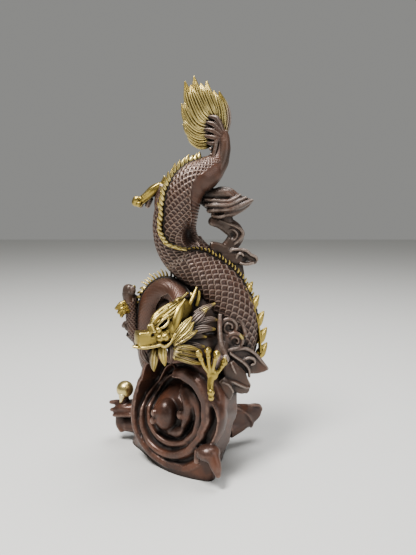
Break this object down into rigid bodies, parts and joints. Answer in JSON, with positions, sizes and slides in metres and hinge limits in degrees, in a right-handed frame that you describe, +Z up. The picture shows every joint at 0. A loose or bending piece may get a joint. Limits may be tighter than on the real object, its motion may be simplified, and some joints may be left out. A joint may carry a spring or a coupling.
{
  "type": "dragon ornament",
  "caption": "Cast ornament: a scaly dragon coils upward out of a breaking wave, with its flame-like tail plume on top and a pearl beside the wave.",
  "frame": {"origin": "on the table plane, under the middle of the ornament's overall width and depth", "axes": "+Z up, -Y towards the front, where the wave's curled face and the dragon's head are seen, +X to the viewer's right"},
  "size_m": [0.107, 0.089, 0.2395],
  "materials": {
    "dark_patina": "red-brown patina on cast brass, satin, with paler rubbed ridges and scale rims",
    "bright_gold": "bright gold finish with dark patina left in the grooves, polished"
  },
  "bodies": {
    "root": {"dragon_casting": "dark_patina"}
  },
  "joints": []
}
